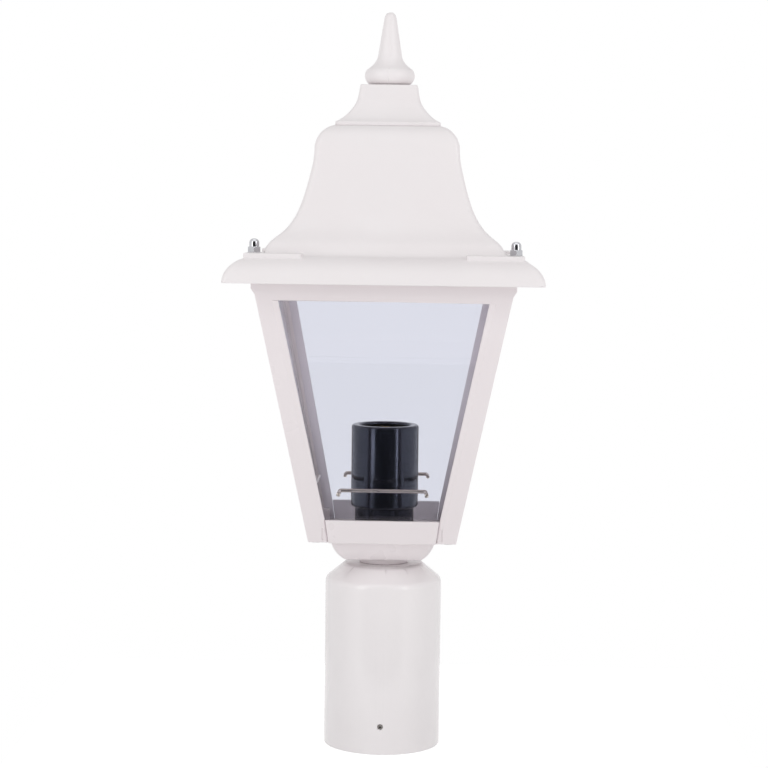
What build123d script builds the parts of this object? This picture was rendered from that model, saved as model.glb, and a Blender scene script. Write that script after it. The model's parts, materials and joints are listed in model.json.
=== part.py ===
from build123d import *
import os
from math import sqrt

# Post top lantern: a square tapered lantern head on a round sleeve that slips over a garden post.
# Millimetres. +Z is up, the origin is at the middle of the sleeve's open bottom, and the front is -Y.

os.makedirs("parts", exist_ok=True)

# ---------------------------------------------------------------- driving dimensions
# clearances
flat_gap = 0.2            # between pieces that are laid side by side
thread_gap = 0.05         # radial, a turning thread
screw_hole_gap = 0.2      # radial, a screw or tube through a plain hole
post_gap = 1.0            # radial, the sleeve over its post
overrun = 1.0             # how far a cut runs past the face it starts from

# post sleeve
post_r = 30.0
post_depth = 97.0
sleeve_wall = 4.3
sleeve_corner_z = 101.9
sleeve_corner_fillet = 5.0
sleeve_top_r = 23.1
sleeve_height = 111.7
sleeve_top_wall = 4.0
ceiling_r = 19.0
bore_chamfer = 0.8

set_screw_z = 17.0
set_screw_r = 1.6
set_screw_length = 3.5
set_screw_recess = 0.5
set_screw_socket = 1.5
set_screw_count = 3

# stack between sleeve and lantern, held by one hollow threaded tube
tube_r = 5.0
tube_bore_r = 3.6
tube_end = 2.5            # thread that shows past each nut
tube_nut_flats = 14.0
tube_nut_height = 5.0
tube_washer_r = 10.0
tube_washer_height = 1.6
neck_r = 14.9
neck_height = 4.4
bowl_bottom_half = 23.0
bowl_middle_half = 27.6
bowl_top_half = 31.2
bowl_height = 12.8
bowl_wall = 2.5
bowl_corner_round = 3.5

# tray: floor and low rails between the feet of the corner posts
tray_floor = 2.5
rail_height = 14.1
rail_taper = 0.14         # per side, run over rise of the rails' ends

# frame: four corner posts, top band and collar in one piece
foot_half = 43.7
foot_lift = 0.5           # feet end this far above the underside of the tray
frame_height = 147.8
frame_top_half = 74.0
frame_wall = 2.8
corner_post_width = 12.6
bevel_width = 3.2
bevel_depth = 1.5
top_band = 3.9
collar_step = 2.0         # out from the top of the frame
collar_wall = 3.5
collar_height = 13.8
collar_lap = 0.5          # down over the top of the frame
collar_slope = 3.5        # height of the slope under the collar
foot_boss_r = 3.0         # half of each square boss
foot_boss_height = 6.6
foot_screw_r = 1.5
foot_screw_length = 8.0
foot_screw_head_r = 2.8

# panes and their wire clips
pane_thickness = 2.5
pane_lap = 5.0            # how far a pane runs behind each corner post
pane_top_gap = 0.7        # below the top of the frame
wire_r = 1.1
wire_half = 25.4          # straight length of the bar, each side of its middle
wire_lift = 29.2          # above the tray floor
wire_setback = 3.05       # from the back of the pane to the middle of the wire
wire_bend_r = 1.3
wire_step = 1.6           # from the bar forward to its turned ends
wire_splay = 0.6
wire_drop = 2.0           # ends below the bar
wire_hole_gap = 0.3

# lampholder
holder_r = 17.9
holder_wall = 2.4
holder_floor = 3.0
holder_base_height = 14.2
holder_thread_height = 12.4
holder_thread_r = 17.5
shell_r = 20.4
shell_height = 50.2
shell_seat_r = 15.9
shell_lip_r = 15.3
shell_lip = 2.0
shell_chamfer = 1.2
insert_flange_height = 3.0
insert_plug_height = 12.0
insert_rim_height = 6.0   # raises the lamp's thread above the centre contact
insert_rim_wall = 2.0
lamp_thread_r = 13.2
lamp_thread_wall = 0.6
lamp_thread_height = 26.0
contact_r = 3.0
contact_height = 2.4
contact_rise = 2.6
contact_stem_r = 1.5
contact_stem_length = 11.0
side_contact_width = 4.0
side_contact_wall = 0.6
side_contact_height = 10.0
terminal_r = 1.5
terminal_head_r = 2.8
terminal_head_height = 2.4
terminal_length = 8.0
terminal_offset = 8.5

# roof
roof_gap_z = 7.0          # brim's lower edge below the top of the collar
roof_wall = 2.8
brim_overhang = 15.6      # past the collar
brim_run = 19.0           # the brim is a quarter of an ellipse
brim_rise = 15.2
roof_height = 91.5
neck_half = 42.4          # narrowest half-width of the roof, under its shoulder
shoulder_r = 14.4
roof_top_half = 31.3
cove_shape = ((0.12, 0.07), (0.46, 0.23), (0.74, 0.45), (0.92, 0.75))   # shares of run and rise
cove_headings = ((-1, 0.45), (-0.05, 1))   # which way the cove sets out and arrives
hip_round = 3.0
pad_inset = 11.6          # behind the brim's edge
pad_length = 33.0
pad_rise = 1.7            # above the top of the brim's round
pad_skirt = 3.0
boss_r = 4.5

# cap and finial
cap_bottom_half = 31.0
cap_band = 2.1
cap_top_half = 17.1
cap_cove_shape = ((0.32, 0.12), (0.66, 0.34), (0.86, 0.55), (0.95, 0.76))
cap_cove_headings = ((-1, 0.4), (-0.05, 1))
cap_hip_round = 2.5
cap_edge_round = 1.0
cove_steps = 8            # spans that each cove is drawn in
cap_height = 24.7
cap_wall = 2.5
finial_height = 43.6
finial_foot = 0.7
finial_foot_r = 10.6
finial_base_r = 11.9
finial_bulge_r = 14.9
finial_bulge_z = 6.6
finial_neck_r = 13.6
finial_neck_z = 9.6
finial_waist_r = 7.0
finial_waist_z = 18.8
finial_tip_r = 3.9
finial_tip_z = 38.3
finial_stud_r = 3.0
finial_stud_depth = 14.0
finial_nut_flats = 10.0
finial_nut_height = 5.0
finial_washer_r = 9.0
finial_washer_height = 1.6

# roof studs, pins and domed nuts
stud_inset = 15.9         # from the side edge of the brim
stud_setback = 34.6       # from the front edge of the brim
ear_size = 12.0
ear_thickness = 6.5
stud_r = 2.0
dome_nut_flats = 7.0
dome_nut_hex = 3.3
dome_nut_height = 8.0
dome_r = 2.9
dome_hole = 6.4
stud_in_nut = 5.4
spot_gap = 0.5            # round a domed nut, where the roof is cut back for it
pin_r = 2.0
pin_rise = 5.2

# ---------------------------------------------------------------- levels and outlines that follow
neck_z = sleeve_height
bowl_z = neck_z + neck_height
tray_z = bowl_z + bowl_height
floor_z = tray_z + tray_floor
rail_top_z = tray_z + rail_height
foot_z = tray_z + foot_lift
frame_top_z = foot_z + frame_height
window_top_z = frame_top_z - top_band
slope = (frame_top_half - foot_half) / frame_height
slant = sqrt(1 + slope**2)
collar_half = frame_top_half + collar_step
collar_z = frame_top_z - collar_lap
collar_top_z = collar_z + collar_height
brim_z = collar_top_z - roof_gap_z
brim_half = collar_half + brim_overhang
brim_top_z = brim_z + brim_rise
roof_top_z = brim_z + roof_height
cap_top_z = roof_top_z + cap_height
finial_z = cap_top_z
pad_z = brim_top_z + pad_rise
stud_x = brim_half - stud_inset
stud_y = brim_half - stud_setback
sleeve_bore_r = post_r + post_gap
sleeve_r = sleeve_bore_r + sleeve_wall
tube_hole_r = tube_r + screw_hole_gap
holder_z = floor_z
thread_z = holder_z + holder_base_height
insert_z = thread_z + holder_thread_height
insert_top_z = insert_z + insert_flange_height
shell_top_z = thread_z + flat_gap + shell_height
reach = 2 * brim_half


def frame_half(z):
    """Half-width of the tapered frame's outer faces at height z."""
    return foot_half + slope * (z - foot_z)


def window_half(z):
    """Half-width between two corner posts at height z: steeper beside the rail than above it."""
    below = max(rail_top_z - z, 0)
    return frame_half(z + below) - corner_post_width - rail_taper * below


def side_plane(turn, inset):
    """Plane along one sloping side, inset behind its outer face: local y runs up from the feet."""
    across = Vector(1, 0, 0).rotate(Axis.Z, turn)
    outward = Vector(0, -1, -slope).rotate(Axis.Z, turn)
    foot = Vector(0, inset - foot_half, foot_z).rotate(Axis.Z, turn)
    return Plane(origin=foot, x_dir=across, z_dir=outward)


def up_side(z):
    """Distance from the feet along a sloping side to height z."""
    return (z - foot_z) * slant


def frustum(low_z, low_half, high_z, high_half):
    """Solid square in plan, with flat sloping sides."""
    with BuildPart() as block:
        with BuildSketch(Plane.XY.offset(low_z)):
            Rectangle(2 * low_half, 2 * low_half)
        with BuildSketch(Plane.XY.offset(high_z)):
            Rectangle(2 * high_half, 2 * high_half)
        loft(ruled=True)
    return block.part


def square_from(outline):
    """Solid square in plan that shows the same outline from the front and from the side."""
    with BuildPart() as block:
        with BuildSketch(Plane.XZ):
            add(outline)
        extrude(amount=reach, both=True)
        with BuildSketch(Plane.YZ):
            add(outline)
        extrude(amount=reach, both=True, mode=Mode.INTERSECT)
    return block.part


def round_hips(block, radius):
    """Rounds the edges where the four sides of a square block meet."""
    middles = [(edge, abs(edge.center().X), abs(edge.center().Y)) for edge in block.edges()]
    hips = [edge for edge, x, y in middles if x > radius and abs(x - y) < 0.01]
    return block.fillet(radius, hips)


def hex_nut(z, flats, height, bore_r):
    """Hexagon nut standing on height z."""
    with BuildPart() as nut:
        with BuildSketch(Plane.XY.offset(z)):
            RegularPolygon(flats / 2, 6, major_radius=False)
            Circle(bore_r, mode=Mode.SUBTRACT)
        extrude(amount=height)
    return nut.part


def ring(z, outer_r, bore_r, height):
    """Flat ring standing on height z."""
    with BuildPart() as disc:
        with BuildSketch(Plane.XY.offset(z)):
            Circle(outer_r)
            Circle(bore_r, mode=Mode.SUBTRACT)
        extrude(amount=height)
    return disc.part


def keep(part, name):
    """Label a finished piece and write its file."""
    part.label = name
    export_step(part, f"parts/{name}.step")


# ---------------------------------------------------------------- post sleeve
with BuildPart() as post_sleeve:
    with BuildSketch(Plane.XZ) as sleeve_section:
        with BuildLine():
            Polyline(
                (sleeve_bore_r, 0),
                (sleeve_r, 0),
                (sleeve_r, sleeve_corner_z),
                (sleeve_top_r, sleeve_height),
                (tube_hole_r, sleeve_height),
                (tube_hole_r, sleeve_height - sleeve_top_wall),
                (ceiling_r, sleeve_height - sleeve_top_wall),
                (sleeve_bore_r, post_depth),
                close=True,
            )
        make_face()
        corner = sleeve_section.vertices().group_by(Axis.X)[-1].sort_by(Axis.Y)[-1]
        fillet(corner, sleeve_corner_fillet)
        mouth = sleeve_section.vertices().group_by(Axis.Y)[0].sort_by(Axis.X)[0]
        chamfer(mouth, bore_chamfer)
    revolve(axis=Axis.Z)
    for turn in range(set_screw_count):
        around = -90 + 360 / set_screw_count * turn
        out = Vector(1, 0, 0).rotate(Axis.Z, around)
        with BuildSketch(Plane(origin=(0, 0, set_screw_z), z_dir=out)):
            Circle(set_screw_r + thread_gap)
        extrude(amount=sleeve_r + overrun, mode=Mode.SUBTRACT)
keep(post_sleeve.part, "post_sleeve")

screw_outer = sleeve_r - set_screw_recess
for turn, side in enumerate(("front", "right", "left")):
    around = -90 + 360 / set_screw_count * turn
    out = Vector(1, 0, 0).rotate(Axis.Z, around)
    end = Vector(0, 0, set_screw_z) + out * screw_outer
    with BuildPart() as set_screw:
        with BuildSketch(Plane(origin=end, z_dir=out)):
            Circle(set_screw_r)
        extrude(amount=-set_screw_length)
        with BuildSketch(Plane(origin=end, z_dir=out)):
            RegularPolygon(set_screw_socket / 2, 6, major_radius=False)
        extrude(amount=-set_screw_length / 2, mode=Mode.SUBTRACT)
    keep(set_screw.part, f"set_screw_{side}")

# ---------------------------------------------------------------- neck stack
keep(ring(neck_z, neck_r, tube_hole_r, neck_height), "neck_ring")

tube_washer_z = sleeve_height - sleeve_top_wall - tube_washer_height
keep(ring(tube_washer_z, tube_washer_r, tube_hole_r, tube_washer_height), "tube_washer")

lower_nut_z = tube_washer_z - tube_nut_height
upper_nut_z = holder_z + holder_floor
nut_bore_r = tube_r + thread_gap
keep(hex_nut(lower_nut_z, tube_nut_flats, tube_nut_height, nut_bore_r), "tube_nut_lower")
keep(hex_nut(upper_nut_z, tube_nut_flats, tube_nut_height, nut_bore_r), "tube_nut_upper")

tube_length = upper_nut_z + tube_nut_height - lower_nut_z + 2 * tube_end
keep(ring(lower_nut_z - tube_end, tube_r, tube_bore_r, tube_length), "threaded_tube")

# ---------------------------------------------------------------- bowl under the floor


def bowl_outline(inset):
    """Section of the bowl, drawn in by inset: flat bottom and bulging side."""
    with BuildSketch() as outline:
        with BuildLine():
            bottom = Line((0, inset), (bowl_bottom_half - inset, inset))
            side = ThreePointArc(
                bottom @ 1,
                (bowl_middle_half - inset, bowl_height / 3 + inset / 2),
                (bowl_top_half - inset, bowl_height),
            )
            Polyline(side @ 1, (0, bowl_height), (0, inset))
        make_face()
        mirror(about=Plane.YZ)
    return outline.sketch.moved(Location((0, bowl_z)))


bowl_outer = round_hips(square_from(bowl_outline(0)), bowl_corner_round)
bowl_inner = square_from(bowl_outline(bowl_wall))
with BuildPart() as bowl:
    add(bowl_outer)
    add(bowl_inner, mode=Mode.SUBTRACT)
    with BuildSketch(Plane.XY.offset(bowl_z)):
        Circle(tube_hole_r)
    extrude(amount=bowl_wall, mode=Mode.SUBTRACT)
keep(bowl.part, "bowl")

# ---------------------------------------------------------------- tray
boss_at = frame_half(floor_z) - frame_wall - foot_boss_r
tray_block = frustum(tray_z, frame_half(tray_z), rail_top_z, frame_half(rail_top_z))
tray_hollow = frustum(
    floor_z,
    frame_half(floor_z) - frame_wall,
    rail_top_z,
    frame_half(rail_top_z) - frame_wall,
)
cut_low_z = foot_z - overrun


def symmetric(*right_side):
    """Outline from the points of its right side, bottom to top, for the sketch being drawn."""
    left_side = [(-x, y) for x, y in reversed(right_side)]
    return Polygon(*right_side, *left_side, align=None)


def window_side(grow, height):
    """Right side of a window at three levels, each level turned into a height by height(z)."""
    levels = (cut_low_z, rail_top_z, window_top_z)
    return [(window_half(z) + grow, height(z)) for z in levels]


def window_cutter(grow):
    """Prisms through the front and the sides, as wide as the windows."""
    with BuildSketch() as outline:
        symmetric(*window_side(grow, lambda z: z))
    with BuildPart() as cutter:
        for plane in (Plane.XZ, Plane.YZ):
            with BuildSketch(plane):
                add(outline.sketch)
            extrude(amount=reach, both=True)
    return cutter.part


tray_span = window_cutter(-flat_gap)
tray_core = frustum(
    tray_z,
    frame_half(tray_z) - frame_wall - flat_gap,
    rail_top_z,
    frame_half(rail_top_z) - frame_wall - flat_gap,
)
with BuildPart() as tray:
    add(tray_block)
    add(tray_span, mode=Mode.INTERSECT)
    add(tray_core)
    add(tray_hollow, mode=Mode.SUBTRACT)
    with BuildSketch(Plane.XY.offset(tray_z)):
        Circle(tube_hole_r)
        with GridLocations(2 * boss_at, 2 * boss_at, 2, 2):
            Circle(foot_screw_r + screw_hole_gap)
    extrude(amount=tray_floor, mode=Mode.SUBTRACT)
    with Locations(Plane(origin=(0, 0, tray_z), z_dir=(0, 0, -1))):
        with GridLocations(2 * boss_at, 2 * boss_at, 2, 2):
            CounterSinkHole(foot_screw_r + screw_hole_gap, foot_screw_head_r + screw_hole_gap)
keep(tray.part, "tray")

# ---------------------------------------------------------------- frame
frame_outer = frustum(foot_z, foot_half, frame_top_z, frame_top_half)
frame_inner = frustum(foot_z, foot_half - frame_wall, frame_top_z, frame_top_half - frame_wall)
windows = window_cutter(0)


def bevel_cutter(turn):
    """Cuts the long bevel along both posts beside one window."""
    with BuildPart() as cutter:
        with BuildSketch(side_plane(turn, 0)):
            symmetric(*window_side(bevel_width, up_side))
        with BuildSketch(side_plane(turn, bevel_depth)):
            symmetric(*window_side(0, up_side))
        loft(ruled=True)
    return cutter.part


bevels = [bevel_cutter(turn) for turn in (0, 90, 180, 270)]
boss_inner = boss_at - foot_boss_r
boss_outer = frame_half(floor_z + foot_boss_height)
with BuildPart() as foot_bosses:
    with BuildSketch(Plane.XY.offset(floor_z)):
        with GridLocations(boss_inner + boss_outer, boss_inner + boss_outer, 2, 2):
            Rectangle(boss_outer - boss_inner, boss_outer - boss_inner)
    extrude(amount=foot_boss_height)
    add(frame_outer, mode=Mode.INTERSECT)

ear_z = collar_top_z - ear_thickness
with BuildPart() as lantern_frame:
    add(frame_outer)
    add(frame_inner, mode=Mode.SUBTRACT)
    add(windows, mode=Mode.SUBTRACT)
    add(bevels, mode=Mode.SUBTRACT)
    # screw bosses in the corners of the feet
    add(foot_bosses.part)
    with BuildSketch(Plane.XY.offset(floor_z)):
        with GridLocations(2 * boss_at, 2 * boss_at, 2, 2):
            Circle(foot_screw_r + thread_gap)
    extrude(amount=foot_boss_height, mode=Mode.SUBTRACT)
    # collar, which slopes out from the top of the frame
    add(frustum(collar_z, frame_half(collar_z), collar_z + collar_slope, collar_half))
    with BuildSketch(Plane.XY.offset(collar_z + collar_slope)):
        Rectangle(2 * collar_half, 2 * collar_half)
    extrude(amount=collar_height - collar_slope)
    with BuildSketch(Plane.XY.offset(frame_top_z)):
        Rectangle(2 * (collar_half - collar_wall), 2 * (collar_half - collar_wall))
    extrude(amount=collar_height, mode=Mode.SUBTRACT)
    with BuildSketch(Plane.XY.offset(collar_z)):
        Rectangle(2 * (frame_top_half - frame_wall), 2 * (frame_top_half - frame_wall))
    extrude(amount=collar_height, mode=Mode.SUBTRACT)
    # ears that carry the roof, each with an arm from the collar's wall
    with BuildSketch(Plane.XY.offset(ear_z)):
        with GridLocations(2 * stud_x, 2 * stud_y, 2, 2):
            Rectangle(ear_size, ear_size)
        with GridLocations(stud_x + collar_half, 2 * stud_y, 2, 2):
            Rectangle(abs(stud_x - collar_half) + collar_wall, ear_size)
    extrude(amount=ear_thickness)
    with BuildSketch(Plane.XY.offset(ear_z)):
        with GridLocations(2 * stud_x, 2 * stud_y, 2, 2):
            Circle(stud_r + thread_gap)
    extrude(amount=ear_thickness, mode=Mode.SUBTRACT)
keep(lantern_frame.part, "lantern_frame")

with BuildPart() as foot_screws:
    head_height = foot_screw_head_r - foot_screw_r
    with Locations(Plane.XY.offset(tray_z)):
        with GridLocations(2 * boss_at, 2 * boss_at, 2, 2):
            Cone(
                foot_screw_head_r,
                foot_screw_r,
                head_height,
                align=(Align.CENTER, Align.CENTER, Align.MIN),
            )
            Cylinder(
                foot_screw_r, foot_screw_length, align=(Align.CENTER, Align.CENTER, Align.MIN)
            )
keep(foot_screws.part, "foot_screws")

# ---------------------------------------------------------------- panes and wire clips
pane_inset = frame_wall + flat_gap
pane_low_z = floor_z
pane_high_z = frame_top_z - pane_top_gap
wire_z = floor_z + wire_lift
pane_back = frame_half(wire_z) - pane_inset - pane_thickness * slant
wire_y = pane_back - wire_setback
wire_tip_x = wire_half + wire_splay
tip_z = wire_z - wire_drop
notch = boss_outer - boss_inner + 2 * flat_gap


def pane_solid(turn):
    """Trapezium pane behind one window, drilled for its wire clip and notched for the bosses."""
    low_half = window_half(pane_low_z) + pane_lap
    high_half = window_half(pane_high_z) + pane_lap
    across = Vector(1, 0, 0).rotate(Axis.Z, turn)
    outward = Vector(0, -1, 0).rotate(Axis.Z, turn)
    with BuildPart() as pane:
        with BuildSketch(side_plane(turn, pane_inset)):
            symmetric((low_half, up_side(pane_low_z)), (high_half, up_side(pane_high_z)))
        extrude(amount=-pane_thickness)
        with BuildSketch(Plane(origin=(0, 0, tip_z), x_dir=across, z_dir=outward)):
            with Locations((-wire_tip_x, 0), (wire_tip_x, 0)):
                Circle(wire_r + wire_hole_gap)
        extrude(amount=reach, mode=Mode.SUBTRACT)
        with BuildSketch(Plane.XY.offset(floor_z - overrun)):
            with GridLocations(boss_inner + boss_outer, boss_inner + boss_outer, 2, 2):
                Rectangle(notch, notch)
        extrude(amount=overrun + foot_boss_height + flat_gap, mode=Mode.SUBTRACT)
    return pane.part


def wire_solid(turn):
    """Bent wire clip: a straight bar with both ends turned down and outward into the pane."""
    tip_y = frame_half(tip_z) - pane_inset
    bend_y = wire_y + wire_step
    half_route = [
        (wire_tip_x, tip_y, tip_z),
        (wire_tip_x, bend_y, tip_z),
        (wire_half, wire_y, wire_z),
    ]
    route_points = half_route + [(-x, y, z) for x, y, z in reversed(half_route)]
    corners = [Vector(x, -y, z).rotate(Axis.Z, turn) for x, y, z in route_points]
    with BuildPart() as clip:
        with BuildLine() as route:
            FilletPolyline(*corners, radius=wire_bend_r)
        start = route.wires()[0] @ 0
        heading = route.wires()[0] % 0
        with BuildSketch(Plane(origin=start, z_dir=heading)):
            Circle(wire_r)
        sweep()
    return clip.part


for turn, side in ((0, "front"), (90, "right"), (180, "rear"), (270, "left")):
    keep(pane_solid(turn), f"pane_{side}")
    keep(wire_solid(turn), f"pane_wire_{side}")

# ---------------------------------------------------------------- lampholder


def turned(points):
    """Solid turned about the upright axis from a closed half section."""
    with BuildPart() as solid:
        with BuildSketch(Plane.XZ):
            with BuildLine():
                Polyline(*points, close=True)
            make_face()
        revolve(axis=Axis.Z)
    return solid.part


holder_bore_r = holder_thread_r - holder_wall
holder_base = turned(
    (
        (tube_hole_r, holder_z),
        (holder_r, holder_z),
        (holder_r, thread_z),
        (holder_thread_r, thread_z),
        (holder_thread_r, insert_z),
        (holder_bore_r, insert_z),
        (holder_bore_r, holder_z + holder_floor),
        (tube_hole_r, holder_z + holder_floor),
    )
)
keep(holder_base, "holder_base")

shell_z = shell_top_z - shell_height
shell_bore_r = holder_thread_r + thread_gap
shell_step_z = insert_top_z + flat_gap
shell = turned(
    (
        (shell_bore_r, shell_z),
        (shell_r - shell_chamfer, shell_z),
        (shell_r, shell_z + shell_chamfer),
        (shell_r, shell_top_z - shell_lip / 2),
        (shell_r - shell_lip / 2, shell_top_z),
        (shell_lip_r + shell_lip / 2, shell_top_z),
        (shell_lip_r, shell_top_z - shell_lip / 2),
        (shell_lip_r, shell_top_z - shell_lip),
        (shell_seat_r, shell_top_z - shell_lip),
        (shell_seat_r, shell_step_z),
        (shell_bore_r, shell_step_z),
    )
)
keep(shell, "holder_shell")

insert_plug_r = holder_bore_r - flat_gap
insert_flange_r = holder_thread_r - flat_gap
lamp_thread_outer_r = lamp_thread_r + lamp_thread_wall
contact_bore_r = contact_stem_r + thread_gap
with BuildPart() as holder_insert:
    with BuildSketch(Plane.XY.offset(insert_z - insert_plug_height)):
        Circle(insert_plug_r)
    extrude(amount=insert_plug_height)
    with BuildSketch(Plane.XY.offset(insert_z)):
        Circle(insert_flange_r)
    extrude(amount=insert_flange_height)
    with BuildSketch(Plane.XY.offset(insert_top_z)):
        Circle(lamp_thread_outer_r)
        Circle(lamp_thread_outer_r - insert_rim_wall, mode=Mode.SUBTRACT)
    extrude(amount=insert_rim_height)
    with BuildSketch(Plane.XY.offset(insert_z - insert_plug_height)):
        Circle(contact_bore_r)
    extrude(amount=insert_plug_height + insert_flange_height, mode=Mode.SUBTRACT)
    with BuildSketch(Plane.XY.offset(insert_z - insert_plug_height)):
        with Locations((-terminal_offset, 0), (terminal_offset, 0)):
            Circle(terminal_r + thread_gap)
    extrude(amount=terminal_length, mode=Mode.SUBTRACT)
keep(holder_insert.part, "holder_insert")

lamp_thread_z = insert_top_z + insert_rim_height
keep(ring(lamp_thread_z, lamp_thread_outer_r, lamp_thread_r, lamp_thread_height), "lamp_thread")

contact_z = insert_top_z + contact_rise
with BuildPart() as centre_contact:
    with BuildSketch(Plane.XY.offset(contact_z)):
        Circle(contact_r)
    extrude(amount=contact_height)
    fillet(centre_contact.edges().group_by(Axis.Z)[-1], contact_height / 3)
    with BuildSketch(Plane.XY.offset(contact_z - contact_stem_length)):
        Circle(contact_stem_r)
    extrude(amount=contact_stem_length)
keep(centre_contact.part, "centre_contact")

with BuildPart() as side_contact:
    with BuildSketch(Plane.XY.offset(insert_top_z)):
        Circle(lamp_thread_outer_r + side_contact_wall)
        Circle(lamp_thread_outer_r, mode=Mode.SUBTRACT)
        Rectangle(
            shell_r, side_contact_width, align=(Align.MIN, Align.CENTER), mode=Mode.INTERSECT
        )
    extrude(amount=side_contact_height)
keep(side_contact.part, "side_contact")

terminal_z = insert_z - insert_plug_height
with BuildPart() as terminal_screws:
    with BuildSketch(Plane.XY.offset(terminal_z)):
        with Locations((-terminal_offset, 0), (terminal_offset, 0)):
            Circle(terminal_head_r)
    extrude(amount=-terminal_head_height)
    with BuildSketch(Plane.XY.offset(terminal_z)):
        with Locations((-terminal_offset, 0), (terminal_offset, 0)):
            Circle(terminal_r)
    extrude(amount=terminal_length - flat_gap)
keep(terminal_screws.part, "terminal_screws")

# ---------------------------------------------------------------- roof


def cove(start, end, shares, headings, inset):
    """Points along a cove from start to end, each moved inset into the wall."""
    (x, z), run, rise = start, end[0] - start[0], end[1] - start[1]
    between = [(x + across * run, z + up * rise) for across, up in shares]
    curve = Spline(start, *between, end, tangents=headings, mode=Mode.PRIVATE)
    steps = [step / cove_steps for step in range(cove_steps + 1)]
    places = [(curve @ step, curve % step) for step in steps]
    return [(spot.X - inset * way.Y, spot.Y + inset * way.X) for spot, way in places]


def roof_outline(inset):
    """Section of the roof, drawn in by inset: round brim, long cove, round shoulder."""
    brim_end = (brim_half - brim_run, brim_rise)
    neck = (neck_half, roof_height - shoulder_r)
    top_z = roof_height - inset
    with BuildSketch() as outline:
        with BuildLine():
            Line((0, 0), (brim_half - inset, 0))
            brim = EllipticalCenterArc(
                (brim_half - brim_run, 0), brim_run - inset, brim_rise - inset, arc_size=90
            )
            points = cove(brim_end, neck, cove_shape, cove_headings, inset)
            rise = Spline(brim @ 1, *points[1:], tangents=cove_headings)
            shoulder = RadiusArc(rise @ 1, (roof_top_half - inset, top_z), inset - shoulder_r)
            Polyline(shoulder @ 1, (0, top_z), (0, 0))
        make_face()
        mirror(about=Plane.YZ)
    return outline.sketch.moved(Location((0, brim_z)))


roof_outer = round_hips(square_from(roof_outline(0)), hip_round)
roof_inner = square_from(roof_outline(roof_wall))
pad_at = brim_half - pad_inset - pad_length / 2
with BuildPart() as bosses:
    with BuildSketch(Plane.XY.offset(collar_top_z)):
        with GridLocations(2 * stud_x, 2 * stud_y, 2, 2):
            Circle(boss_r)
    extrude(amount=roof_height)
    add(roof_outer, mode=Mode.INTERSECT)
nut_corner_r = dome_nut_flats / sqrt(3)
with BuildPart() as roof:
    add(roof_outer)
    with BuildSketch(Plane.XY.offset(pad_z)):
        with GridLocations(2 * pad_at, 2 * pad_at, 2, 2):
            Rectangle(pad_length, pad_length)
    extrude(amount=-pad_rise - pad_skirt)
    add(roof_inner, mode=Mode.SUBTRACT)
    # bosses that stand on the ears
    add(bosses.part)
    # holes for the studs in front and the pins behind
    with BuildSketch(Plane.XY.offset(collar_top_z)):
        with Locations((-stud_x, -stud_y), (stud_x, -stud_y)):
            Circle(stud_r + screw_hole_gap)
    extrude(amount=pad_z - collar_top_z, mode=Mode.SUBTRACT)
    with BuildSketch(Plane.XY.offset(collar_top_z)):
        with Locations((-stud_x, stud_y), (stud_x, stud_y)):
            Circle(pin_r + screw_hole_gap)
    extrude(amount=pin_rise + flat_gap, mode=Mode.SUBTRACT)
    # flats for the domed nuts
    with BuildSketch(Plane.XY.offset(pad_z)):
        with Locations((-stud_x, -stud_y), (stud_x, -stud_y)):
            Circle(nut_corner_r + spot_gap)
    extrude(amount=roof_height, mode=Mode.SUBTRACT)
    with BuildSketch(Plane.XY.offset(roof_top_z)):
        Circle(finial_stud_r + screw_hole_gap)
    extrude(amount=-2 * roof_wall, mode=Mode.SUBTRACT)
keep(roof.part, "roof")

# ---------------------------------------------------------------- cap


def cap_outline(inset):
    """Section of the cap, drawn in by inset: upright band, cove and flat top."""
    band_end = (cap_bottom_half, cap_band)
    top_end = (cap_top_half, cap_height)
    points = cove(band_end, top_end, cap_cove_shape, cap_cove_headings, inset)
    with BuildSketch() as outline:
        with BuildLine():
            Polyline((0, -inset), (points[0][0], -inset), points[0])
            rise = Spline(*points, tangents=cap_cove_headings)
            Polyline(rise @ 1, (0, (rise @ 1).Y), (0, -inset))
        make_face()
        mirror(about=Plane.YZ)
        Rectangle(2 * (cap_bottom_half - inset), 2 * (cap_height - inset), mode=Mode.INTERSECT)
    return outline.sketch.moved(Location((0, roof_top_z)))


cap_outer = round_hips(square_from(cap_outline(0)), cap_hip_round)
cap_inner = square_from(cap_outline(cap_wall))
with BuildPart() as roof_cap:
    add(cap_outer)
    fillet(roof_cap.edges().group_by(Axis.Z)[-1], cap_edge_round)
    add(cap_inner, mode=Mode.SUBTRACT)
    with BuildSketch(Plane.XY.offset(cap_top_z)):
        Circle(finial_stud_r + screw_hole_gap)
    extrude(amount=-2 * cap_wall, mode=Mode.SUBTRACT)
keep(roof_cap.part, "roof_cap")

# ---------------------------------------------------------------- finial
finial_bore_r = finial_stud_r + thread_gap
with BuildPart() as finial:
    with BuildSketch(Plane.XZ.offset(0)):
        with BuildLine():
            Polyline(
                (finial_bore_r, finial_z + finial_stud_depth),
                (finial_bore_r, finial_z),
                (finial_foot_r, finial_z),
                (finial_foot_r, finial_z + finial_foot),
                (finial_base_r, finial_z + finial_foot),
            )
            ThreePointArc(
                (finial_base_r, finial_z + finial_foot),
                (finial_bulge_r, finial_z + finial_bulge_z),
                (finial_neck_r, finial_z + finial_neck_z),
            )
            Spline(
                (finial_neck_r, finial_z + finial_neck_z),
                (finial_waist_r, finial_z + finial_waist_z),
                tangents=((-1, 0.7), (-0.12, 1)),
            )
            Line(
                (finial_waist_r, finial_z + finial_waist_z),
                (finial_tip_r, finial_z + finial_tip_z),
            )
            Spline(
                (finial_tip_r, finial_z + finial_tip_z),
                (0, finial_z + finial_height),
                tangents=((-0.15, 1), (-1, 0)),
            )
            Polyline(
                (0, finial_z + finial_height),
                (0, finial_z + finial_stud_depth),
                (finial_bore_r, finial_z + finial_stud_depth),
            )
        make_face()
    revolve(axis=Axis.Z)
keep(finial.part, "finial")

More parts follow.
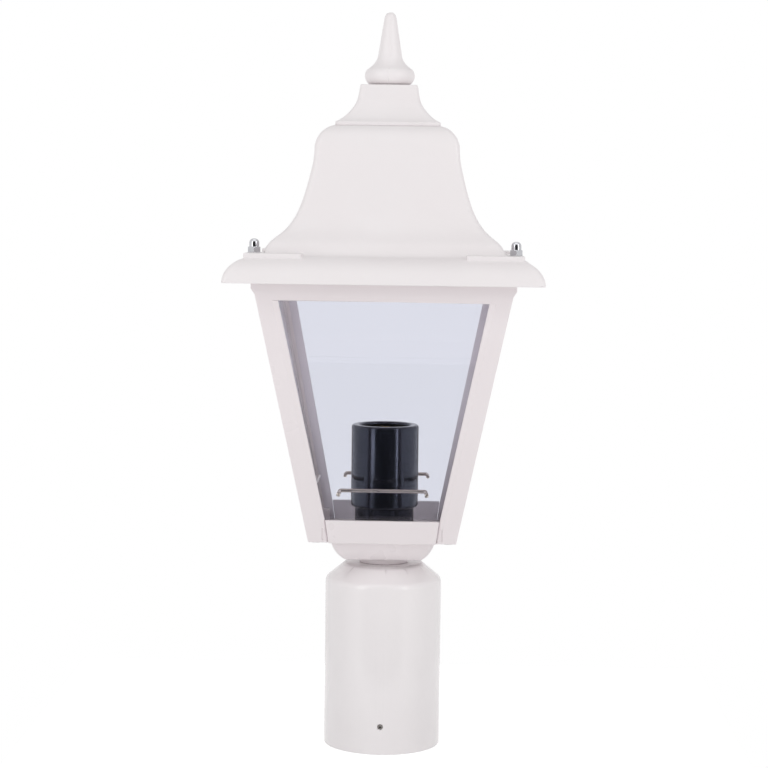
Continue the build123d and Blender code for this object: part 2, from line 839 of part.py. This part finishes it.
finial_washer_z = roof_top_z - roof_wall - finial_washer_height
finial_nut_z = finial_washer_z - finial_nut_height
finial_hole_r = finial_stud_r + screw_hole_gap
keep(ring(finial_washer_z, finial_washer_r, finial_hole_r, finial_washer_height), "finial_washer")
keep(hex_nut(finial_nut_z, finial_nut_flats, finial_nut_height, finial_bore_r), "finial_nut")

finial_stud_low = finial_nut_z - finial_stud_r / 2
finial_stud_high = finial_z + finial_stud_depth - screw_hole_gap
with BuildPart() as finial_stud:
    with BuildSketch(Plane.XY.offset(finial_stud_low)):
        Circle(finial_stud_r)
    extrude(amount=finial_stud_high - finial_stud_low)
keep(finial_stud.part, "finial_stud")

# ---------------------------------------------------------------- roof fixings
with BuildPart() as roof_studs:
    with BuildSketch(Plane.XY.offset(ear_z)):
        with Locations((-stud_x, -stud_y), (stud_x, -stud_y)):
            Circle(stud_r)
    extrude(amount=pad_z + stud_in_nut - ear_z)
keep(roof_studs.part, "roof_studs")

with BuildPart() as roof_pins:
    with BuildSketch(Plane.XY.offset(ear_z)):
        with Locations((-stud_x, stud_y), (stud_x, stud_y)):
            Circle(pin_r)
    extrude(amount=ear_thickness + pin_rise)
keep(roof_pins.part, "roof_pins")

for side, x in (("left", -stud_x), ("right", stud_x)):
    with BuildPart() as domed_nut:
        with BuildSketch(Plane.XY.offset(pad_z)):
            with Locations((x, -stud_y)):
                Circle(dome_r)
        extrude(amount=dome_nut_height)
        fillet(domed_nut.edges().group_by(Axis.Z)[-1], 0.8 * dome_r)
        with BuildSketch(Plane.XY.offset(pad_z)):
            with Locations((x, -stud_y)):
                RegularPolygon(dome_nut_flats / 2, 6, major_radius=False, rotation=30)
        extrude(amount=dome_nut_hex)
        with BuildSketch(Plane.XY.offset(pad_z)):
            with Locations((x, -stud_y)):
                Circle(stud_r + thread_gap)
        extrude(amount=dome_hole, mode=Mode.SUBTRACT)
    keep(domed_nut.part, f"domed_nut_{side}")
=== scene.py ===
import json
from math import cos, pi, radians, sin, sqrt

import bpy
from mathutils import Matrix, Vector


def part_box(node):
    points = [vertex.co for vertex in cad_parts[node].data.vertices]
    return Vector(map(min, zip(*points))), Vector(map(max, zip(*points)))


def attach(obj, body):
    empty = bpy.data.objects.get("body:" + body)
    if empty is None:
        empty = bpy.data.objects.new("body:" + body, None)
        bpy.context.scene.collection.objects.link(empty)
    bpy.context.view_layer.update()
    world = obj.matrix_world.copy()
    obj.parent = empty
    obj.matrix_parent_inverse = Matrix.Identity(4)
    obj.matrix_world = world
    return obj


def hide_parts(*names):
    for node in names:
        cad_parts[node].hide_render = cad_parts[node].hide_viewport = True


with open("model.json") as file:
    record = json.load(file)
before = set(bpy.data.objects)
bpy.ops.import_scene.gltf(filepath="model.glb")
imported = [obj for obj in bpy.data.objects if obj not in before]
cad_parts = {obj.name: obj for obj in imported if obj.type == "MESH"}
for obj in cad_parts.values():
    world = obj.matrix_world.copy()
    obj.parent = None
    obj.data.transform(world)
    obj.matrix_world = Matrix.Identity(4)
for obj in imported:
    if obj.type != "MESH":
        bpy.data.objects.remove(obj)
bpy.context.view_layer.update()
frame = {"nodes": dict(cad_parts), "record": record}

# Post top lantern: white coated metal, clear panes, a black lampholder and two chrome domed nuts.
# Metres. +Z is up, the origin is at the middle of the sleeve's open lower end, the front is -Y.
MM = 0.001

BODY_OF = {
    node: body
    for body, nodes in frame["record"]["behaviour"]["bodies"].items()
    for node in nodes
}
SIDES = ("front", "right", "rear", "left")


# ---------------------------------------------------------------- selecting and finishing pieces
def select_only(piece):
    bpy.ops.object.select_all(action="DESELECT")
    piece.select_set(True)
    bpy.context.view_layer.objects.active = piece


def open_for_edit(piece):
    select_only(piece)
    bpy.ops.object.mode_set(mode="EDIT")
    bpy.ops.mesh.select_all(action="SELECT")


def close_edit():
    bpy.ops.object.mode_set(mode="OBJECT")


def apply_modifier(piece, kind, **settings):
    """Gives the piece a modifier with these settings and applies it."""
    modifier = piece.modifiers.new(kind, kind)
    for name, value in settings.items():
        setattr(modifier, name, value)
    select_only(piece)
    bpy.ops.object.modifier_apply(modifier=modifier.name)


def place_of(node):
    """Middle and size of a CAD node's box, and the level of its lower end, in metres."""
    low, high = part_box(node)
    middle = Vector([(a + b) / 2 for a, b in zip(low, high)])
    size = Vector([b - a for a, b in zip(low, high)])
    return middle, size, middle.z - size.z / 2


def at_origin(piece):
    """Puts the piece's origin at the middle of the lantern's lower end."""
    select_only(piece)
    bpy.ops.object.transform_apply(location=True, rotation=True, scale=True)
    return piece


def combine(piece, other, operation):
    """Joins the solid other to piece, cuts it away or keeps what both share."""
    apply_modifier(piece, "BOOLEAN", object=other, operation=operation, solver="EXACT")
    bpy.data.objects.remove(other)


def cut_level(piece, height, keep_above):
    """Cuts the piece level at a height and closes it there."""
    open_for_edit(piece)
    bpy.ops.mesh.bisect(
        plane_co=(0, 0, height),
        plane_no=(0, 0, 1),
        use_fill=True,
        clear_inner=keep_above,
        clear_outer=not keep_above,
    )
    close_edit()


def round_edges(piece, edge, segments=2, angle=30):
    """Rounds the edges sharper than angle, in degrees, by a width of edge, in millimetres."""
    apply_modifier(
        piece,
        "BEVEL",
        width=edge * MM,
        segments=segments,
        limit_method="ANGLE",
        angle_limit=radians(angle),
        use_clamp_overlap=False,
    )


def finish_piece(piece, node, material, smooth_angle=35):
    """Shades a finished piece, gives it its material and puts it in the place of its CAD node."""
    select_only(piece)
    bpy.ops.object.shade_smooth_by_angle(angle=radians(smooth_angle))
    # large flat faces keep their own shading right up to the rounded edges
    apply_modifier(piece, "WEIGHTED_NORMAL", keep_sharp=True)
    piece.data.materials.clear()
    piece.data.materials.append(material)
    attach(piece, BODY_OF[node])
    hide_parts(node)


def merged_copy(node):
    """Copy of a CAD piece as one closed mesh."""
    mesh = frame["nodes"][node].data.copy()
    piece = bpy.data.objects.new(f"{node}_piece", mesh)
    bpy.context.scene.collection.objects.link(piece)
    open_for_edit(piece)
    bpy.ops.mesh.remove_doubles(threshold=0.001 * MM)
    close_edit()
    return piece


def softened_copy(node, edge, segments=2):
    """Copy of a CAD piece: triangles joined into faces, sharp edges rounded by a real edge radius."""
    piece = merged_copy(node)
    open_for_edit(piece)
    bpy.ops.mesh.dissolve_limited(angle_limit=radians(0.1))
    close_edit()
    round_edges(piece, edge, segments, angle=40)
    return piece


# ---------------------------------------------------------------- materials
def to_linear(colour):
    """Colour written as sRGB hex, as linear red, green, blue and alpha."""
    shares = [int(colour[at:at + 2], 16) / 255 for at in (1, 3, 5)]
    return [s / 12.92 if s <= 0.04045 else ((s + 0.055) / 1.055) ** 2.4 for s in shares] + [1.0]


def per_mm(size):
    """Texture scale that gives a pattern of this size in millimetres."""
    return 1 / (size * MM)


def add_node(tree, kind, values=None, links=None, **settings):
    """Adds a node, sets values in its sockets and links other sockets into them."""
    node = tree.nodes.new(kind)
    for name, value in settings.items():
        setattr(node, name, value)
    for name, value in (values or {}).items():
        node.inputs[name].default_value = value
    for name, source in (links or {}).items():
        tree.links.new(source, node.inputs[name])
    return node


def any_ray(tree, path, *kinds):
    """Socket that is 1 for a ray of any of these kinds; path holds the outputs of a light path."""
    either = path[kinds[0]]
    for kind in kinds[1:]:
        larger = add_node(
            tree, "ShaderNodeMath", links={0: either, 1: path[kind]}, operation="MAXIMUM"
        )
        either = larger.outputs["Value"]
    return either


def new_material(name, **values):
    """Material with one shader, whose sockets get these values; returns it, its tree and the shader."""
    material = bpy.data.materials.new(name)
    material.use_nodes = True
    tree = material.node_tree
    shader = tree.nodes["Principled BSDF"]
    for socket, value in values.items():
        shader.inputs[socket.replace("_", " ")].default_value = value
    return material, tree, shader


def coat_finish(name, colour, cloud_colour, roughness, peel, peel_depth, grain_depth):
    """Powder coat on a die casting: slow orange peel, fine grain, faint clouding and rare nibs.

    peel, peel_depth and grain_depth are in millimetres.
    """
    material, tree, shader = new_material(name, IOR=1.5)
    place = add_node(tree, "ShaderNodeTexCoord").outputs["Object"]
    clouds = add_node(
        tree, "ShaderNodeTexNoise", {"Scale": per_mm(45), "Detail": 3}, {"Vector": place}
    )
    tint = add_node(
        tree,
        "ShaderNodeMix",
        {"A": to_linear(colour), "B": to_linear(cloud_colour)},
        {"Factor": clouds.outputs["Fac"]},
        data_type="RGBA",
    )
    # nibs: specks up to 1.4 mm across, round the few cell middles that lie in the surface
    cells = add_node(tree, "ShaderNodeTexVoronoi", {"Scale": per_mm(60)}, {"Vector": place})
    speck = add_node(
        tree,
        "ShaderNodeMapRange",
        {"From Min": 0.012, "From Max": 0.006, "To Max": 0.55},
        {"Value": cells.outputs["Distance"]},
    )
    paint = add_node(
        tree,
        "ShaderNodeMix",
        {"B": to_linear("#8f8078")},
        {"Factor": speck.outputs["Result"], "A": tint.outputs["Result"]},
        data_type="RGBA",
    )
    sheen = add_node(
        tree,
        "ShaderNodeMapRange",
        {"From Min": 0.3, "From Max": 0.7, "To Min": roughness * 0.85, "To Max": roughness * 1.2},
        {"Value": clouds.outputs["Fac"]},
    )
    waves = add_node(
        tree, "ShaderNodeTexNoise", {"Scale": per_mm(peel), "Detail": 1}, {"Vector": place}
    )
    grain = add_node(
        tree, "ShaderNodeTexNoise", {"Scale": per_mm(0.9), "Detail": 2}, {"Vector": place}
    )
    peel_bump = add_node(
        tree, "ShaderNodeBump", {"Distance": peel_depth * MM}, {"Height": waves.outputs["Fac"]}
    )
    grain_bump = add_node(
        tree,
        "ShaderNodeBump",
        {"Distance": grain_depth * MM},
        {"Height": grain.outputs["Fac"], "Normal": peel_bump.outputs["Normal"]},
    )
    tree.links.new(paint.outputs["Result"], shader.inputs["Base Color"])
    tree.links.new(sheen.outputs["Result"], shader.inputs["Roughness"])
    tree.links.new(grain_bump.outputs["Normal"], shader.inputs["Normal"])
    return material


def pane_finish():
    """Clear sheet, cut and edge polished: faintly lavender, very slightly uneven."""
    material, tree, shader = new_material(
        "clear_cut_sheet", IOR=1.49, Transmission_Weight=1.0, Base_Color=to_linear("#f3f4fa")
    )
    place = add_node(tree, "ShaderNodeTexCoord").outputs["Object"]
    film = add_node(
        tree, "ShaderNodeTexNoise", {"Scale": per_mm(25), "Detail": 4}, {"Vector": place}
    )
    haze = add_node(
        tree,
        "ShaderNodeMapRange",
        {"From Min": 0.35, "From Max": 0.8, "To Min": 0.0, "To Max": 0.02},
        {"Value": film.outputs["Fac"]},
    )
    swell = add_node(tree, "ShaderNodeTexNoise", {"Scale": per_mm(60)}, {"Vector": place})
    bump = add_node(
        tree, "ShaderNodeBump", {"Distance": 0.05 * MM}, {"Height": swell.outputs["Fac"]}
    )
    tree.links.new(haze.outputs["Result"], shader.inputs["Roughness"])
    tree.links.new(bump.outputs["Normal"], shader.inputs["Normal"])
    # daylight goes straight through the sheet to what is behind it
    path = add_node(tree, "ShaderNodeLightPath").outputs
    daylight = any_ray(tree, path, "Is Shadow Ray", "Is Diffuse Ray")
    open_air = add_node(tree, "ShaderNodeBsdfTransparent", {"Color": to_linear("#ffffff")})
    sheet = add_node(
        tree,
        "ShaderNodeMixShader",
        links={
            0: daylight,
            1: shader.outputs["BSDF"],
            2: open_air.outputs["BSDF"],
        },
    )
    output = tree.nodes["Material Output"]
    tree.links.new(sheet.outputs["Shader"], output.inputs["Surface"])
    return material


def phenolic_finish():
    """Black phenolic, compression moulded: blue-black, glossy, with faint flow lines up the piece."""
    material, tree, shader = new_material(
        "black_moulded_phenolic", IOR=1.75, Specular_Tint=to_linear("#dfe6ff")
    )
    place = add_node(tree, "ShaderNodeTexCoord").outputs["Object"]
    stretched = add_node(
        tree, "ShaderNodeMapping", {"Scale": (1, 1, 0.12)}, {"Vector": place}
    )
    flow = add_node(
        tree,
        "ShaderNodeTexNoise",
        {"Scale": per_mm(4), "Detail": 3},
        {"Vector": stretched.outputs["Vector"]},
    )
    colour = add_node(
        tree,
        "ShaderNodeMix",
        {"A": to_linear("#030408"), "B": to_linear("#0b0e18")},
        {"Factor": flow.outputs["Fac"]},
        data_type="RGBA",
    )
    scuffs = add_node(
        tree, "ShaderNodeTexNoise", {"Scale": per_mm(2.5), "Detail": 5}, {"Vector": place}
    )
    sheen = add_node(
        tree,
        "ShaderNodeMapRange",
        {"From Min": 0.4, "From Max": 0.75, "To Min": 0.08, "To Max": 0.17},
        {"Value": scuffs.outputs["Fac"]},
    )
    bump = add_node(
        tree, "ShaderNodeBump", {"Distance": 0.02 * MM}, {"Height": flow.outputs["Fac"]}
    )
    tree.links.new(colour.outputs["Result"], shader.inputs["Base Color"])
    tree.links.new(sheen.outputs["Result"], shader.inputs["Roughness"])
    tree.links.new(bump.outputs["Normal"], shader.inputs["Normal"])
    return material


def metal_finish(
    name, colour, dull_colour, roughness, dull_roughness, grain, depth, stretch=(1, 1, 1)
):
    """Bare or plated metal: two tones in a grain, drawn out along each axis with a small stretch.

    grain and depth are in millimetres.
    """
    material, tree, shader = new_material(name, Metallic=1.0)
    place = add_node(tree, "ShaderNodeTexCoord").outputs["Object"]
    drawn = add_node(tree, "ShaderNodeMapping", {"Scale": stretch}, {"Vector": place})
    noise = add_node(
        tree,
        "ShaderNodeTexNoise",
        {"Scale": per_mm(grain), "Detail": 4},
        {"Vector": drawn.outputs["Vector"]},
    )
    tone = add_node(
        tree,
        "ShaderNodeMix",
        {"A": to_linear(colour), "B": to_linear(dull_colour)},
        {"Factor": noise.outputs["Fac"]},
        data_type="RGBA",
    )
    sheen = add_node(
        tree,
        "ShaderNodeMapRange",
        {"From Min": 0.3, "From Max": 0.7, "To Min": roughness, "To Max": dull_roughness},
        {"Value": noise.outputs["Fac"]},
    )
    bump = add_node(
        tree, "ShaderNodeBump", {"Distance": depth * MM}, {"Height": noise.outputs["Fac"]}
    )
    tree.links.new(tone.outputs["Result"], shader.inputs["Base Color"])
    tree.links.new(sheen.outputs["Result"], shader.inputs["Roughness"])
    tree.links.new(bump.outputs["Normal"], shader.inputs["Normal"])
    return material


def ceramic_finish():
    """White steatite, pressed and fired without glaze: matt and slightly speckled."""
    material, tree, shader = new_material("fired_white_ceramic", IOR=1.55, Roughness=0.55)
    place = add_node(tree, "ShaderNodeTexCoord").outputs["Object"]
    speckle = add_node(
        tree, "ShaderNodeTexNoise", {"Scale": per_mm(0.8), "Detail": 3}, {"Vector": place}
    )
    colour = add_node(
        tree,
        "ShaderNodeMix",
        {"A": to_linear("#e9e4da"), "B": to_linear("#d2cabb")},
        {"Factor": speckle.outputs["Fac"]},
        data_type="RGBA",
    )
    bump = add_node(
        tree, "ShaderNodeBump", {"Distance": 0.03 * MM}, {"Height": speckle.outputs["Fac"]}
    )
    tree.links.new(colour.outputs["Result"], shader.inputs["Base Color"])
    tree.links.new(bump.outputs["Normal"], shader.inputs["Normal"])
    return material


roof_coat = coat_finish(
    "satin_powder_coat",
    colour="#f4f0f1",
    cloud_colour="#efe9ea",
    roughness=0.42,
    peel=6.0,
    peel_depth=0.05,
    grain_depth=0.02,
)
body_coat = coat_finish(
    "semi_gloss_powder_coat",
    colour="#f3ecee",
    cloud_colour="#ede5e7",
    roughness=0.30,
    peel=5.0,
    peel_depth=0.04,
    grain_depth=0.01,
)
sleeve_coat = coat_finish(
    "gloss_powder_coat",
    colour="#fcf8f9",
    cloud_colour="#f6f1f2",
    roughness=0.12,
    peel=7.0,
    peel_depth=0.12,
    grain_depth=0.004,
)
clear_sheet = pane_finish()
black_phenolic = phenolic_finish()
white_ceramic = ceramic_finish()
chrome_plate = metal_finish(
    "polished_chrome_plate",
    colour="#d5d5d8",
    dull_colour="#bdbdc2",
    roughness=0.05,
    dull_roughness=0.12,
    grain=3.0,
    depth=0.004,
)
# the drawing marks run level, along the bars of the clips
drawn_wire = metal_finish(
    "zinc_plated_drawn_wire",
    colour="#d8cfca",
    dull_colour="#bdb3ae",
    roughness=0.25,
    dull_roughness=0.40,
    grain=0.8,
    depth=0.02,
    stretch=(0.1, 0.1, 1),
)
zinc_plate = metal_finish(
    "bright_zinc_plate",
    colour="#c2c2bf",
    dull_colour="#9d9d98",
    roughness=0.28,
    dull_roughness=0.45,
    grain=1.5,
    depth=0.01,
)
contact_brass = metal_finish(
    "rolled_brass",
    colour="#cfae6a",
    dull_colour="#a98748",
    roughness=0.25,
    dull_roughness=0.40,
    grain=2.0,
    depth=0.01,
    stretch=(1, 1, 0.2),
)
screw_steel = metal_finish(
    "plain_grub_screw_steel",
    colour="#a09c99",
    dull_colour="#7b7673",
    roughness=0.30,
    dull_roughness=0.50,
    grain=1.0,
    depth=0.01,
)


# ---------------------------------------------------------------- pieces with shapes of their own
def upright_rod(sides, radius, depth, place):
    """Round or many-sided rod, standing, with its middle at place."""
    bpy.ops.mesh.primitive_cylinder_add(
        vertices=sides, radius=radius, depth=depth, location=place
    )
    return bpy.context.active_object


def domed_nut(node):
    """Hexagon nut with chamfered corners and a tall closed dome, tapped for its stud from below."""
    middle, size, low = place_of(node)
    hexagon_height = 3.3 * MM
    top_circle = 3.35 * MM        # radius of the flat that the chamfer leaves
    dome_radius = 2.9 * MM
    tapping_radius = 2.05 * MM
    tapping_depth = 6.4 * MM

    hexagon_middle = (middle.x, middle.y, low + hexagon_height / 2)
    nut = upright_rod(6, size.x / sqrt(3), hexagon_height, hexagon_middle)
    nut.name = f"{node}_piece"
    # the corners are turned off at 30 degrees
    bpy.ops.mesh.primitive_cone_add(
        vertices=96,
        radius1=top_circle + hexagon_height * sqrt(3),
        radius2=top_circle,
        depth=hexagon_height,
        location=hexagon_middle,
    )
    combine(nut, bpy.context.active_object, "INTERSECT")

    dome = upright_rod(64, dome_radius, size.z, middle)
    round_edges(dome, edge=2.5, segments=10, angle=60)
    combine(nut, dome, "UNION")

    # half of this rod stands below the nut
    tapping = upright_rod(48, tapping_radius, 2 * tapping_depth, (middle.x, middle.y, low))
    combine(nut, tapping, "DIFFERENCE")
    round_edges(nut, edge=0.12)
    return at_origin(nut)


def wound(node, side_points, pitch, height, place):
    """Surface of a screw thread: one pitch of its side wound upwards round an upright axis.

    It starts a pitch below place and runs past height, and is cut to length afterwards.
    side_points and pitch are in millimetres.
    """
    name = f"{node}_piece"
    mesh = bpy.data.meshes.new(name)
    mesh.from_pydata(
        [(x * MM, 0, z * MM) for x, z in side_points],
        [(at, at + 1) for at in range(len(side_points) - 1)],
        [],
    )
    piece = bpy.data.objects.new(name, mesh)
    bpy.context.scene.collection.objects.link(piece)
    apply_modifier(
        piece,
        "SCREW",
        axis="Z",
        screw_offset=pitch * MM,
        iterations=int(height / (pitch * MM)) + 2,
        steps=48,
        render_steps=48,
        use_merge_vertices=True,
        merge_threshold=0.001 * MM,
    )
    open_for_edit(piece)
    bpy.ops.mesh.remove_doubles(threshold=0.001 * MM)
    bpy.ops.mesh.normals_make_consistent(inside=False)
    close_edit()
    piece.location = (place[0], place[1], place[2] - pitch * MM)
    return at_origin(piece)


def lamp_screw(node):
    """Rolled brass thread for the lamp: a round wave of 3.6 mm pitch in thin sheet."""
    middle, size, low = place_of(node)
    pitch = 3.6
    sheet = 0.24
    crest = size.x / 2 / MM - sheet
    swing = 0.17                  # of the wave, each side of its middle
    steps = 12
    waves = [
        (crest - swing + swing * cos(2 * pi * at / steps), pitch * at / steps)
        for at in range(steps + 1)
    ]
    piece = wound(node, waves, pitch, size.z, (middle.x, middle.y, low))
    apply_modifier(piece, "SOLIDIFY", thickness=sheet * MM, offset=1)
    cut_level(piece, low, keep_above=True)
    cut_level(piece, low + size.z, keep_above=False)
    return piece


def threaded_rods(node, radius, pitch, bore):
    """Upright rods, or a tube with a bore, with a cut thread, each in the place of a CAD rod."""
    middle, size, low = place_of(node)
    spread = size.x / 2 - radius * MM
    shifts = (-spread, spread) if spread > radius * MM else (0,)
    # a metric thread is 0.61 of its pitch deep and its crests are an eighth of it wide
    root = radius - 0.61 * pitch
    flanks = [(root, 0), (radius, 0.44 * pitch), (radius, 0.56 * pitch), (root, pitch)]
    rods = []
    for shift in shifts:
        x = middle.x + shift
        rod = wound(node, flanks, pitch, size.z, (x, middle.y, low))
        if bore:
            open_for_edit(rod)
            bpy.ops.mesh.primitive_cylinder_add(
                vertices=64,
                radius=bore * MM,
                depth=2 * size.z,
                end_fill_type="NOTHING",
                location=(x, middle.y, middle.z),
            )
            bpy.ops.mesh.flip_normals()
            close_edit()
        cut_level(rod, low, keep_above=True)
        cut_level(rod, low + size.z, keep_above=False)
        open_for_edit(rod)
        bpy.ops.mesh.normals_make_consistent(inside=False)
        close_edit()
        rods.append(rod)
    bpy.ops.object.select_all(action="DESELECT")
    for rod in rods:
        rod.select_set(True)
    bpy.context.view_layer.objects.active = rods[0]
    if len(rods) > 1:
        bpy.ops.object.join()
    return rods[0]


def seamed_finial(node):
    """Finial with the fine ridge that the two halves of its mould leave in front and behind."""
    half_seam = 0.3 * MM
    seam_height = 0.12 * MM
    stud_hole = 4 * MM            # faces nearer the axis than this belong to the stud's hole
    piece = softened_copy(node, edge=0.3)
    for x in (-half_seam, half_seam):
        open_for_edit(piece)
        bpy.ops.mesh.bisect(plane_co=(x, 0, 0), plane_no=(1, 0, 0))
        close_edit()
    open_for_edit(piece)
    bpy.ops.mesh.select_mode(type="FACE")
    bpy.ops.mesh.select_all(action="DESELECT")
    close_edit()
    for face in piece.data.polygons:
        on_seam = all(abs(piece.data.vertices[at].co.x) < 1.01 * half_seam for at in face.vertices)
        face.select = on_seam and abs(face.center.y) > stud_hole
    bpy.ops.object.mode_set(mode="EDIT")
    bpy.ops.transform.shrink_fatten(value=seam_height)
    close_edit()
    return piece


# ---------------------------------------------------------------- castings and coated pieces
# edge radii in millimetres
for node, edge, coat in (
    ("roof", 0.5, roof_coat),
    ("roof_cap", 0.4, roof_coat),
    ("post_sleeve", 0.5, sleeve_coat),
    ("neck_ring", 0.6, body_coat),
    ("bowl", 0.5, body_coat),
    ("tray", 0.5, body_coat),
):
    finish_piece(softened_copy(node, edge), node, coat)
# the bevels beside the windows meet the posts at 25 degrees, and that edge stays crisp
finish_piece(
    softened_copy("lantern_frame", edge=0.4), "lantern_frame", body_coat, smooth_angle=20
)
finish_piece(seamed_finial("finial"), "finial", roof_coat)

for side in SIDES:
    finish_piece(merged_copy(f"pane_{side}"), f"pane_{side}", clear_sheet, smooth_angle=5)
    finish_piece(merged_copy(f"pane_wire_{side}"), f"pane_wire_{side}", drawn_wire)

for node in ("holder_base", "holder_shell"):
    finish_piece(softened_copy(node, edge=0.35), node, black_phenolic)
finish_piece(softened_copy("holder_insert", edge=0.3), "holder_insert", white_ceramic)

finish_piece(lamp_screw("lamp_thread"), "lamp_thread", contact_brass)
for node in ("centre_contact", "side_contact", "terminal_screws"):
    finish_piece(softened_copy(node, edge=0.1), node, contact_brass)

# node, radius, pitch and bore in millimetres
for node, radius, pitch, bore in (
    ("threaded_tube", 5.0, 1.0, 3.6),
    ("finial_stud", 3.0, 1.0, 0),
    ("roof_studs", 2.0, 0.7, 0),
):
    finish_piece(threaded_rods(node, radius, pitch, bore), node, zinc_plate)
for node in (
    "tube_washer", "tube_nut_lower", "tube_nut_upper", "foot_screws",
    "finial_washer", "finial_nut", "roof_pins",
):
    finish_piece(softened_copy(node, edge=0.15), node, zinc_plate)

for side in ("left", "right"):
    finish_piece(domed_nut(f"domed_nut_{side}"), f"domed_nut_{side}", chrome_plate)

for side in ("front", "right", "left"):
    finish_piece(softened_copy(f"set_screw_{side}", edge=0.1), f"set_screw_{side}", screw_steel)

# ---------------------------------------------------------------- floor and studio
WHITE = to_linear("#ffffff")
FLOOR_SIZE = 440 * MM
FLOOR_GLOW = 0.55
DARK_ROOM = 0.04
WHITE_WALLS = 0.92
SOFT_LIGHT = 0.48
LIGHT_FROM_BELOW = 0.90
LANTERN_MIDDLE = Vector((0, 0, 0.2))
# rays that see a surface, or see it mirrored or through a pane
SEEING_RAYS = ("Is Camera Ray", "Is Glossy Ray", "Is Transmission Ray")

bpy.ops.mesh.primitive_plane_add(size=FLOOR_SIZE)
floor = bpy.context.active_object
floor.name = "studio_floor"
floor_white, tree, shader = new_material(
    "matt_white_paper",
    Roughness=0.9,
    Base_Color=to_linear("#f2f2f2"),
    Specular_IOR_Level=0.0,
    Emission_Color=WHITE,
)
seen = any_ray(tree, add_node(tree, "ShaderNodeLightPath").outputs, *SEEING_RAYS)
glow = add_node(
    tree, "ShaderNodeMath", {1: FLOOR_GLOW}, {0: seen}, operation="MULTIPLY"
)
tree.links.new(glow.outputs["Value"], shader.inputs["Emission Strength"])
floor.data.materials.append(floor_white)

world = bpy.data.worlds.new("studio")
bpy.context.scene.world = world
world.use_nodes = True
tree = world.node_tree
tree.nodes.clear()
path = add_node(tree, "ShaderNodeLightPath").outputs
seen = any_ray(tree, path, *SEEING_RAYS)
# the studio itself: glossy surfaces reflect white walls beside and behind the lantern and a dark
# room round the camera, and matt ones get an even soft light, stronger from the table below
way = add_node(
    tree,
    "ShaderNodeSeparateXYZ",
    links={"Vector": add_node(tree, "ShaderNodeTexCoord").outputs["Generated"]},
).outputs
reflected = add_node(
    tree,
    "ShaderNodeMapRange",
    {"From Min": -0.85, "From Max": -0.65, "To Min": DARK_ROOM, "To Max": WHITE_WALLS},
    {"Value": way["Y"]},
)
soft = add_node(
    tree,
    "ShaderNodeMapRange",
    {"From Min": -0.1, "From Max": 0.1, "To Min": LIGHT_FROM_BELOW, "To Max": SOFT_LIGHT},
    {"Value": way["Z"]},
)
lighting = add_node(
    tree,
    "ShaderNodeMix",
    links={
        "Factor": seen,
        "A": soft.outputs["Result"],
        "B": reflected.outputs["Result"],
    },
    data_type="FLOAT",
)
# white where nothing but clear sheet lies between the camera and the wall
unmirrored = add_node(
    tree, "ShaderNodeMath", {1: 0.5}, {0: path["Glossy Depth"]}, operation="LESS_THAN"
)
straight = add_node(
    tree,
    "ShaderNodeMath",
    links={0: seen, 1: unmirrored.outputs["Value"]},
    operation="MULTIPLY",
)
level = add_node(
    tree,
    "ShaderNodeMix",
    {"B": 1.0},
    {"Factor": straight.outputs["Value"], "A": lighting.outputs["Result"]},
    data_type="FLOAT",
)
sky = add_node(
    tree,
    "ShaderNodeBackground",
    {"Color": WHITE},
    {"Strength": level.outputs["Result"]},
)
add_node(tree, "ShaderNodeOutputWorld", links={"Surface": sky.outputs["Background"]})


def add_soft_box(name, watts, width, height, place):
    """Rectangular studio light, in metres, turned towards the middle of the lantern."""
    bpy.ops.object.light_add(type="AREA", location=place)
    lamp = bpy.context.active_object
    lamp.name = name
    lamp.data.shape = "RECTANGLE"
    lamp.data.size = width
    lamp.data.size_y = height
    lamp.data.energy = watts
    lamp.rotation_euler = (Vector(place) - LANTERN_MIDDLE).to_track_quat("Z", "Y").to_euler()
    lamp.visible_camera = False


def strip_spot(azimuth):
    """Place of a strip light, 1 m away: azimuth in degrees from the front, to the right."""
    around = radians(azimuth)
    return (sin(around), -cos(around), 0.5)


add_soft_box("strip_left", watts=2.3, width=0.335, height=1.0, place=strip_spot(-42))
add_soft_box("strip_right", watts=2.3, width=0.21, height=1.0, place=strip_spot(45.5))
add_soft_box("top_light", watts=3.4, width=1.4, height=1.4, place=(0, -0.3, 1.9))

# ---------------------------------------------------------------- camera
LENS_MM = 100.9
SENSOR_MM = 36
CAMERA_DISTANCE = 1302.0 * MM
CAMERA_HEIGHT = 329.8 * MM
CAMERA_AZIMUTH = radians(1.465)      # the camera stands this far round to the right of the front
CAMERA_HEADING = radians(1.515)
CAMERA_PITCH = radians(4.811)        # it looks down by this much
CAMERA_ROLL = radians(0.731)
in_front = Vector((0, -CAMERA_DISTANCE, CAMERA_HEIGHT))
camera_spot = Matrix.Rotation(CAMERA_AZIMUTH, 4, "Z") @ in_front
bpy.ops.object.camera_add()
camera = bpy.context.active_object
camera.name = "camera"
camera.data.sensor_width = SENSOR_MM
camera.data.lens = LENS_MM
camera.matrix_world = (
    Matrix.Translation(camera_spot)
    @ Matrix.Rotation(CAMERA_HEADING, 4, "Z")
    @ Matrix.Rotation(pi / 2 - CAMERA_PITCH, 4, "X")
    @ Matrix.Rotation(CAMERA_ROLL, 4, "Z")
)
bpy.context.scene.camera = camera
bpy.context.scene.view_settings.view_transform = "Standard"
